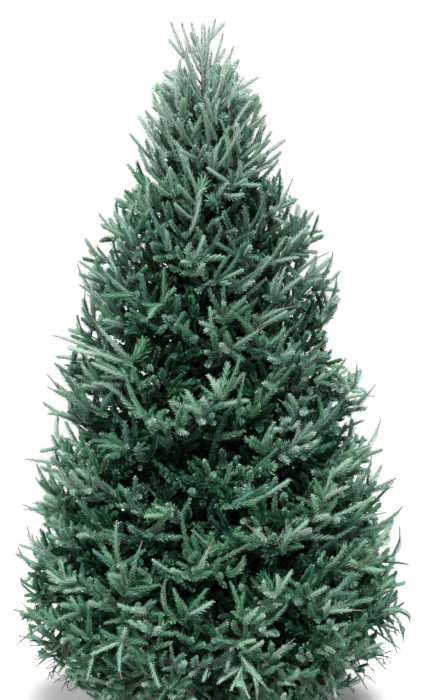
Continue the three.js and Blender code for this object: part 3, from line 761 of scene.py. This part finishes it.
def quad_mesh(name, corners, quads, tones, materials, smooth):
    """A mesh of quads from arrays of corners, of four indices each, and of material numbers."""
    mesh = bpy.data.meshes.new(name)
    mesh.vertices.add(len(corners))
    mesh.vertices.foreach_set("co", np.ascontiguousarray(corners, dtype=np.float32).ravel())
    mesh.loops.add(quads.size)
    mesh.loops.foreach_set("vertex_index", quads.astype(np.int32).ravel())
    mesh.polygons.add(len(quads))
    mesh.polygons.foreach_set("loop_start", np.arange(0, quads.size, 4, dtype=np.int32))
    mesh.polygons.foreach_set("material_index", tones.astype(np.int32))
    mesh.polygons.foreach_set("use_smooth", np.full(len(quads), smooth))
    for material in materials:
        mesh.materials.append(material)
    mesh.update(calc_edges=True)
    return mesh


def needle_mesh(name, shoots, materials, dice):
    """All needles of one mass: quads that narrow to their tips, round every shoot by the golden angle."""
    curves = np.array([[list(s.root), list(s.middle), list(s.tip)] for s in shoots])
    root, middle, tip = curves.transpose(1, 0, 2)
    length, depth, thick, tone = np.array([(s.length, s.depth, s.thick, s.tone()) for s in shoots]).T
    narrowing, power = np.array([SLIM_END if s.slim else BLUNT_END for s in shoots]).T
    deep = np.clip((depth - DEEP[0]) / (DEEP[1] - DEEP[0]), 0, 1)
    count = length * NEEDLES_PER_METRE * (1 - (1 - DEEP_COUNT) * deep)
    count = np.maximum(FEWEST_NEEDLES, count.astype(int))
    owner = np.repeat(np.arange(len(shoots)), count)
    number = np.arange(len(owner)) - np.repeat(np.cumsum(count) - count, count)
    t = ((number + 0.5) / count[owner])[:, None]
    a, b, c = root[owner], middle[owner], tip[owner]
    place = a * (1 - t) ** 2 + b * 2 * t * (1 - t) + c * t**2
    tangent = unit((b - a) * (1 - t) + (c - b) * t)
    across, upper = frames_along(tangent)
    turn = (number * GOLDEN_ANGLE + owner * NEXT_SHOOT_TURN)[:, None]
    radial = across * np.sin(turn) + upper * np.cos(turn)
    sweep = np.radians(NEEDLE_SWEEP[0] + (NEEDLE_SWEEP[1] - NEEDLE_SWEEP[0]) * t**2)
    sweep = sweep + dice.normal(0, SWEEP_STRAY, t.shape)
    away = tangent * np.cos(sweep) + radial * np.sin(sweep)
    around = unit(np.cross(tangent, radial))
    twist = dice.normal(0, TWIST_STRAY, t.shape)
    wide = around * np.cos(twist) + np.cross(away, around) * np.sin(twist)
    thick = thick[owner][:, None]
    narrow = 1 - narrowing[owner][:, None] * t ** power[owner][:, None]
    size = NEEDLE_LENGTH * thick * dice.uniform(*NEEDLE_PLAY, t.shape) * narrow
    half = NEEDLE_WIDTH / 2 * (1 + (DEEP_WIDTH - 1) * deep[owner])[:, None]
    foot = place + radial * thick * CORE_RADIUS * NEEDLE_FOOT * narrow
    end = foot + away * size
    tip_half = half * NEEDLE_TIP
    corners = [foot - wide * half, foot + wide * half, end + wide * tip_half, end - wide * tip_half]
    corners = np.stack(corners, 1).reshape(-1, 3)
    quads = np.arange(len(corners)).reshape(-1, 4)
    return quad_mesh(name, corners, quads, tone[owner], materials, False)


def tube_mesh(name, tubes, materials):
    """Tapered limbs, each given as (points, radii, sides, material number)."""
    corners, quads, tones = [], [], []
    base = 0
    for points, radii, sides, tone in tubes:
        turns = (np.arange(sides) * 2 * pi / sides)[None, :, None]
        path = np.array([list(p) for p in points])
        across, upper = frames_along(unit(np.gradient(path, axis=0)))
        ring = across[:, None] * np.sin(turns) + upper[:, None] * np.cos(turns)
        corners.append((path[:, None] + ring * np.array(radii)[:, None, None]).reshape(-1, 3))
        i, j = np.meshgrid(np.arange(len(path) - 1), np.arange(sides), indexing="ij")
        k = (j + 1) % sides
        first, second = base + i * sides, base + (i + 1) * sides
        quads.append(np.stack([first + j, first + k, second + k, second + j], -1).reshape(-1, 4))
        tones.append(np.full(i.size, tone))
        base += len(path) * sides
    corners, quads, tones = (np.concatenate(rows) for rows in (corners, quads, tones))
    return quad_mesh(name, corners, quads, tones, materials, True)


def core_tube(shoot):
    """The shoot itself under its needles, a level darker as painted shade between them."""
    shares = SLIM_SHARES if shoot.slim else CORE_SHARES
    radii = [CORE_RADIUS * shoot.thick * share for share in shares]
    sides = CORE_SIDES[shoot.depth > DEEP[1]]
    return [shoot.at(t) for t in CORE_RINGS], radii, sides, shoot.tone(darker=CORE_SHADE_LEVELS)


# ---- materials
PLAIN_SPECULAR = 0.2
GRAIN_NOISE = {"Scale": 1.0, "Detail": 8, "Roughness": 0.62, "Distortion": 0.6}
GRAIN_STOPS = (0.36, 0.66)  # where the noise turns from dark to light
GRAIN_BUMP = 0.6


def fill_in(node, **values):
    """Sets a node's sockets, by their names with _ for each space."""
    for name, value in values.items():
        node.inputs[name.replace("_", " ")].default_value = value


def shader_of(name, roughness):
    material = bpy.data.materials.new(name)
    material.use_nodes = True
    shader = material.node_tree.nodes["Principled BSDF"]
    fill_in(shader, Roughness=roughness)
    return material, shader


def plain(name, colour, roughness):
    """One even colour, for the pieces whose colours are dealt out by spray."""
    material, shader = shader_of(name, roughness)
    fill_in(shader, Base_Color=(*colour, 1), Specular_IOR_Level=PLAIN_SPECULAR)
    return material


def needle_materials():
    """A material for each level and hue, in the order of Shoot.tone."""
    materials = []
    for level, green in LEVELS.items():
        for hue, (red, blue) in HUES.items():
            fade = FADE[level]
            colour = (green * (red + (1 - red) * fade), green, green * (blue + (1 - blue) * fade))
            materials.append(plain(f"needles_{level}_{hue}", colour, NEEDLE_ROUGHNESS))
    return materials


def grained(name, dark, light, roughness, scale, turn, depth):
    """Streaks drawn out along one axis, by their number per metre: bark along Z, or a board's grain."""
    material, shader = shader_of(name, roughness)
    nodes, links = material.node_tree.nodes, material.node_tree.links
    place = nodes.new("ShaderNodeTexCoord")
    mapping = nodes.new("ShaderNodeMapping")
    mapping.vector_type = "TEXTURE"
    fill_in(mapping, Rotation=turn, Scale=[1 / s for s in scale])
    streaks = nodes.new("ShaderNodeTexNoise")
    fill_in(streaks, **GRAIN_NOISE)
    colours = nodes.new("ShaderNodeValToRGB")
    for stop, position, colour in zip(colours.color_ramp.elements, GRAIN_STOPS, (dark, light)):
        stop.position = position
        stop.color = (*colour, 1)
    bump = nodes.new("ShaderNodeBump")
    fill_in(bump, Strength=GRAIN_BUMP, Distance=depth)
    links.new(place.outputs["Object"], mapping.inputs["Vector"])
    links.new(mapping.outputs["Vector"], streaks.inputs["Vector"])
    links.new(streaks.outputs["Fac"], colours.inputs["Fac"])
    links.new(colours.outputs["Color"], shader.inputs["Base Color"])
    links.new(streaks.outputs["Fac"], bump.inputs["Height"])
    links.new(bump.outputs["Normal"], shader.inputs["Normal"])
    return material


# ---- trunk and boughs
BARK = ((0.055, 0.04, 0.03), (0.22, 0.17, 0.13), 0.9)  # dark, light and roughness
BARK_STREAKS = (60, 60, 18)  # per metre
BARK_BUMP = 0.0012
BARK_SIDES = 56
BARK_SPAN = 0.007  # between rings of the trunk
BARK_RELIEF = (0.0024, 0.0007)  # depth of the furrows at the trunk's foot and top
PLATE = Vector((75, 75, 24))  # per metre, across and along the trunk
PLATE_WARP = (0.7, 0.45)  # bends per plate, and how far they go
WARP_SHIFTS = (Vector((9.3, -1.5, -8.0)), Vector((0, 0, 0)), Vector((-6.1, 3.9, 2.8)))
PLATE_EDGE = 0.35  # of a plate, over which it rises from its furrow
PLATE_ROUGH = (0.25, 4)  # the fine part of the relief, and its lumps per plate
COLLAR = 0.006  # the trunk swells round each bough's foot
COLLAR_REACH = 0.03
BOUGH_SIDES = 14
BOUGH_SPAN = 0.006
BOUGH_SINK = 0.006  # a bough's foot lies this far inside the trunk
BOUGH_LET_IN = 0.004  # and its other end in its mass
BOUGH_FLARE = 0.5  # extra radius at its foot, as a share
FLARE_REACH = 0.04
BOUGH_LUMPS = (0.0008, 140)  # height, and number per metre
BOUGH_WRINKLES = (0.0004, 900)  # height, and radians per metre along it
WRINKLE_STRAY = (2, 60)  # radians, and bends per metre


def furrows(point, scale):
    """0 in the furrows between bark plates, near 1 on the plates."""
    place = Vector((point.x * scale.x, point.y * scale.y, point.z * scale.z))
    bends = place * PLATE_WARP[0]
    place += Vector([noise.noise(bends + shift) for shift in WARP_SHIFTS]) * PLATE_WARP[1]
    distances, _ = noise.voronoi(place)
    plate = ramp(distances[1] - distances[0], 0, PLATE_EDGE)
    fine, lumps = PLATE_ROUGH
    return plate * (1 - fine) + fine * (0.5 + 0.5 * noise.noise(place * lumps))


def ring_mesh(name, rings, material):
    """A closed mesh over rings of points, with flat ends."""
    sides = len(rings[0])
    points = [p for ring in rings for p in ring]
    faces = []
    for i in range(len(rings) - 1):
        for j in range(sides):
            k = (j + 1) % sides
            faces.append((i * sides + j, i * sides + k, (i + 1) * sides + k, (i + 1) * sides + j))
    faces.append(tuple(reversed(range(sides))))
    faces.append(tuple(range(len(points) - sides, len(points))))
    mesh = bpy.data.meshes.new(name)
    mesh.from_pydata(points, [], faces)
    mesh.polygons.foreach_set("use_smooth", [True] * (len(faces) - 2) + [False, False])
    mesh.materials.append(material)
    mesh.update()
    return mesh


def trunk(boughs, material):
    """The trunk with its bark plates, and a collar round the foot of each bare bough."""
    rings = []
    count = round((TRUNK_TOP_Z - TRUNK_FOOT_Z) / BARK_SPAN)
    for i in range(count + 1):
        z = blend((TRUNK_FOOT_Z, TRUNK_TOP_Z), i / count)
        centre = trunk_centre(z)
        depth = blend(BARK_RELIEF, i / count)
        near = [b for b in boughs if abs(b.z - z) < COLLAR_REACH * 1.5]
        ring = []
        for j in range(BARK_SIDES):
            away = level_direction(2 * pi * j / BARK_SIDES)
            radius = trunk_radius(z)
            surface = centre + away * radius
            radius -= depth * (1 - furrows(surface, PLATE))
            for bough in near:
                foot = bough.point(trunk_radius(bough.z))
                radius += COLLAR * max(0, 1 - (surface - foot).length / COLLAR_REACH) ** 2
            ring.append(centre + away * radius)
        rings.append(ring)
    piece_of("trunk_bark", ring_mesh("trunk_bark", rings, material), ["trunk"])


def bough(mass, material):
    """A bare bough from inside the trunk to its mass, flared at its foot and finely wrinkled."""
    limb = mass.bough
    first = trunk_radius(limb.z) - BOUGH_SINK
    last = mass.bare + TRUNK_FOOT_RADIUS + BOUGH_LET_IN
    count = round((last - first) / BOUGH_SPAN)
    outs = [blend((first, last), i / count) for i in range(count + 1)]
    path = np.array([list(limb.point(out)) for out in outs])
    across, upper = frames_along(unit(np.gradient(path, axis=0)))
    lump, lumps = BOUGH_LUMPS
    wrinkle, wrinkles = BOUGH_WRINKLES
    stray, strays = WRINKLE_STRAY
    rings = []
    for i, out in enumerate(outs):
        flare = 1 + BOUGH_FLARE * max(0, 1 - (out - first) / FLARE_REACH) ** 2
        ring = []
        for j in range(BOUGH_SIDES):
            angle = 2 * pi * j / BOUGH_SIDES
            away = Vector(across[i]) * sin(angle) + Vector(upper[i]) * cos(angle)
            surface = Vector(path[i]) + away * limb.radius
            phase = out * wrinkles + stray * noise.noise(surface * strays)
            rough = lump * noise.noise(surface * lumps) + wrinkle * sin(phase)
            ring.append(Vector(path[i]) + away * (limb.radius_at(out) * flare + rough))
        rings.append(ring)
    name = f"bough_{mass.name}_bark"
    piece_of(name, ring_mesh(name, rings, material), [f"bough_{mass.name}"])


# ---- stand
STAND_TURN = 45  # degrees
BRACES = 4
MERGE_WITHIN = 1e-5
FLAT_WITHIN = 2  # degrees
SHARP_FROM = 30  # degrees
EDGE_ROUND = 0.0022
EDGE_STEPS = 3
BRACE_FOOT = Vector((0.156, 0, 0.0583))  # the toe's upper edge, along the board
BRACE_HEAD = Vector((0.065, 0, 0.1643))  # the top's outer edge
PEG_PLACES = (0.22, 0.72)  # along that slope
PEG_SIDES = 20
PEG_RADII = (0.006, 0.00528)  # at its inner end and its head
PEG_PROUD = 0.002
PEG_DEPTH = 0.008
TIMBER = ((0.33, 0.2, 0.1), (0.62, 0.45, 0.27), 0.6)  # dark, light and roughness
END_GRAIN = ((0.2, 0.12, 0.06), (0.45, 0.3, 0.17), 0.7)
ALONG_BOARD = (3, 90, 90)  # streaks per metre
UPRIGHT = (90, 90, 6)
ON_PEGS = (300, 300, 300)
TIMBER_RELIEF = 0.0008
PEG_RELIEF = 0.0004


def planed(node, material):
    """A board or brace of the stand with its edges rounded off."""
    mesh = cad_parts[node].data.copy()
    shape = bmesh.new()
    shape.from_mesh(mesh)
    flat, sharp_angle = radians(FLAT_WITHIN), radians(SHARP_FROM)
    bmesh.ops.remove_doubles(shape, verts=shape.verts, dist=MERGE_WITHIN)
    bmesh.ops.dissolve_limit(shape, angle_limit=flat, verts=shape.verts, edges=shape.edges)
    sharp = [e for e in shape.edges if e.is_manifold and e.calc_face_angle() > sharp_angle]
    bmesh.ops.bevel(shape, geom=sharp, offset=EDGE_ROUND, segments=EDGE_STEPS, profile=0.5, affect="EDGES")
    shape.to_mesh(mesh)
    shape.free()
    mesh.materials.clear()
    mesh.materials.append(material)
    mesh.polygons.foreach_set("material_index", [0] * len(mesh.polygons))
    piece_of(f"{node}_planed", mesh, [node])


def pegs(material):
    """Round pegs through each brace's slope, driven square to it and cut nearly flush."""
    shape = bmesh.new()
    slope = BRACE_HEAD - BRACE_FOOT
    normal = Vector((slope.z, 0, -slope.x)).normalized()
    tilt = normal.to_track_quat("Z", "Y").to_matrix().to_4x4()
    for i in range(BRACES):
        turn = Matrix.Rotation(radians(STAND_TURN + 360 * i / BRACES), 4, "Z")
        for share in PEG_PLACES:
            place = BRACE_FOOT + slope * share + normal * ((PEG_PROUD - PEG_DEPTH) / 2)
            bmesh.ops.create_cone(
                shape, cap_ends=True, segments=PEG_SIDES, radius1=PEG_RADII[0], radius2=PEG_RADII[1],
                depth=PEG_PROUD + PEG_DEPTH, matrix=turn @ Matrix.Translation(place) @ tilt,
            )
    mesh = bpy.data.meshes.new("stand_pegs")
    shape.to_mesh(mesh)
    shape.free()
    mesh.materials.append(material)
    return mesh


def stand():
    for level, turn in (("lower", radians(STAND_TURN)), ("upper", -radians(STAND_TURN))):
        grain = grained(f"timber_{level}", *TIMBER, ALONG_BOARD, (0, 0, turn), TIMBER_RELIEF)
        planed(f"stand_board_{level}", grain)
    grain = grained("timber_braces", *TIMBER, UPRIGHT, (0, 0, 0), TIMBER_RELIEF)
    braces = [f"stand_brace_{i + 1}" for i in range(BRACES)]
    for node in braces:
        planed(node, grain)
    end_grain = grained("timber_pegs", *END_GRAIN, ON_PEGS, (0, 0, 0), PEG_RELIEF)
    piece_of("stand_pegs", pegs(end_grain), braces)


# ---- foliage
def dress(growths, name, needles, twig_bark, bud, dice):
    """The pieces of one whorl's masses: needles for each mass, and all its twigs and shoots."""
    nodes = [f"foliage_{growth.mass.name}" for growth in growths]
    for growth, node in zip(growths, nodes):
        piece = f"needles_{growth.mass.name}"
        piece_of(piece, needle_mesh(piece, growth.shoots, needles, dice), [node])
    twigs = [(*twig, 0) for growth in growths for twig in growth.twigs]
    twigs += [(*tip, 1) for growth in growths for tip in growth.tips]
    cores = [core_tube(shoot) for growth in growths for shoot in growth.shoots]
    piece_of(f"twigs_{name}", tube_mesh(f"twigs_{name}", twigs, [twig_bark, bud]), nodes)
    piece_of(f"shoots_{name}", tube_mesh(f"shoots_{name}", cores, needles), nodes)


def foliage(masses):
    dice = np.random.default_rng(SEED)
    needles = needle_materials()
    twig_bark = plain("twig_bark", *TWIG_BARK)
    bud = plain("bud", *BUD)
    for w in range(len(WHORLS)):
        growths = [Growth(mass) for mass in masses if mass.whorl == w]
        for growth in growths:
            growth.grow(growth.mass.bough, growth.mass.bare)
            for limb in growth.mass.between:
                growth.grow(limb, 0)
            if w < GAP_WHORLS:
                growth.fill_gaps(*OUTER_GAPS)
                growth.fill_gaps(*INNER_GAPS)
            growth.add_inner()
            if w == 0:
                growth.fill_gaps(*SKIRT_GAPS, heights=SKIRT_HEIGHTS, on_shoots=True)
                growth.add_bare_twigs()
        dress(growths, w + 1, needles, twig_bark, bud, dice)
    leader = Growth(Top())
    leader.add_leader()
    dress([leader], "leader", needles, twig_bark, bud, dice)


# ---- studio
CAMERA_PLACE = (0.026, -5.0, 1.226)
CAMERA_LENS = 78.6  # with a sensor as wide as this
CAMERA_SENSOR = 36
WORLD_LIGHT = 0.38
LAMPS = [("key", 5, 46, 5.15, 14), ("fill", -45, 25, 1.8, 40)]  # turn, height, strength, width in degrees
FLOOR_EDGE = 4  # from the middle
FLOOR = ((0.82, 0.82, 0.82), 0.9)


def camera():
    data = bpy.data.cameras.new("camera")
    data.lens = CAMERA_LENS
    data.sensor_width = CAMERA_SENSOR
    view = in_scene("camera", data)
    view.location = CAMERA_PLACE
    view.rotation_euler = (radians(90), 0, 0)
    bpy.context.scene.camera = view


def floor():
    mesh = bpy.data.meshes.new("floor")
    corners = [(FLOOR_EDGE * x, FLOOR_EDGE * y, 0) for x, y in ((-1, -1), (1, -1), (1, 1), (-1, 1))]
    mesh.from_pydata(corners, [], [(0, 1, 2, 3)])
    mesh.materials.append(plain("floor", *FLOOR))
    in_scene("floor", mesh)


def lights():
    """Soft suns from the front, and a white surround that lights less than it shows."""
    world = bpy.data.worlds.new("studio")
    world.use_nodes = True
    nodes, links = world.node_tree.nodes, world.node_tree.links
    seen = nodes.new("ShaderNodeLightPath")
    strength = nodes.new("ShaderNodeMapRange")
    fill_in(strength, To_Min=WORLD_LIGHT, To_Max=1)
    fill_in(nodes["Background"], Color=(1, 1, 1, 1))
    links.new(seen.outputs["Is Camera Ray"], strength.inputs["Value"])
    links.new(strength.outputs["Result"], nodes["Background"].inputs["Strength"])
    bpy.context.scene.world = world
    for name, azimuth, height, power, size in LAMPS:
        data = bpy.data.lights.new(name, "SUN")
        data.energy = power
        data.angle = radians(size)
        lamp = in_scene(name, data)
        lamp.rotation_euler = (radians(90 - height), 0, radians(azimuth))


# ---- the whole
masses = [Mass(w, k) for w, whorl in enumerate(WHORLS) for k in range(whorl[1])]
bark = grained("bark", *BARK, BARK_STREAKS, (0, 0, 0), BARK_BUMP)
trunk([mass.bough for mass in masses], bark)
for mass in masses:
    if mass.bare:
        bough(mass, bark)
stand()
foliage(masses)
camera()
floor()
lights()
bpy.context.scene.view_settings.view_transform = "Standard"
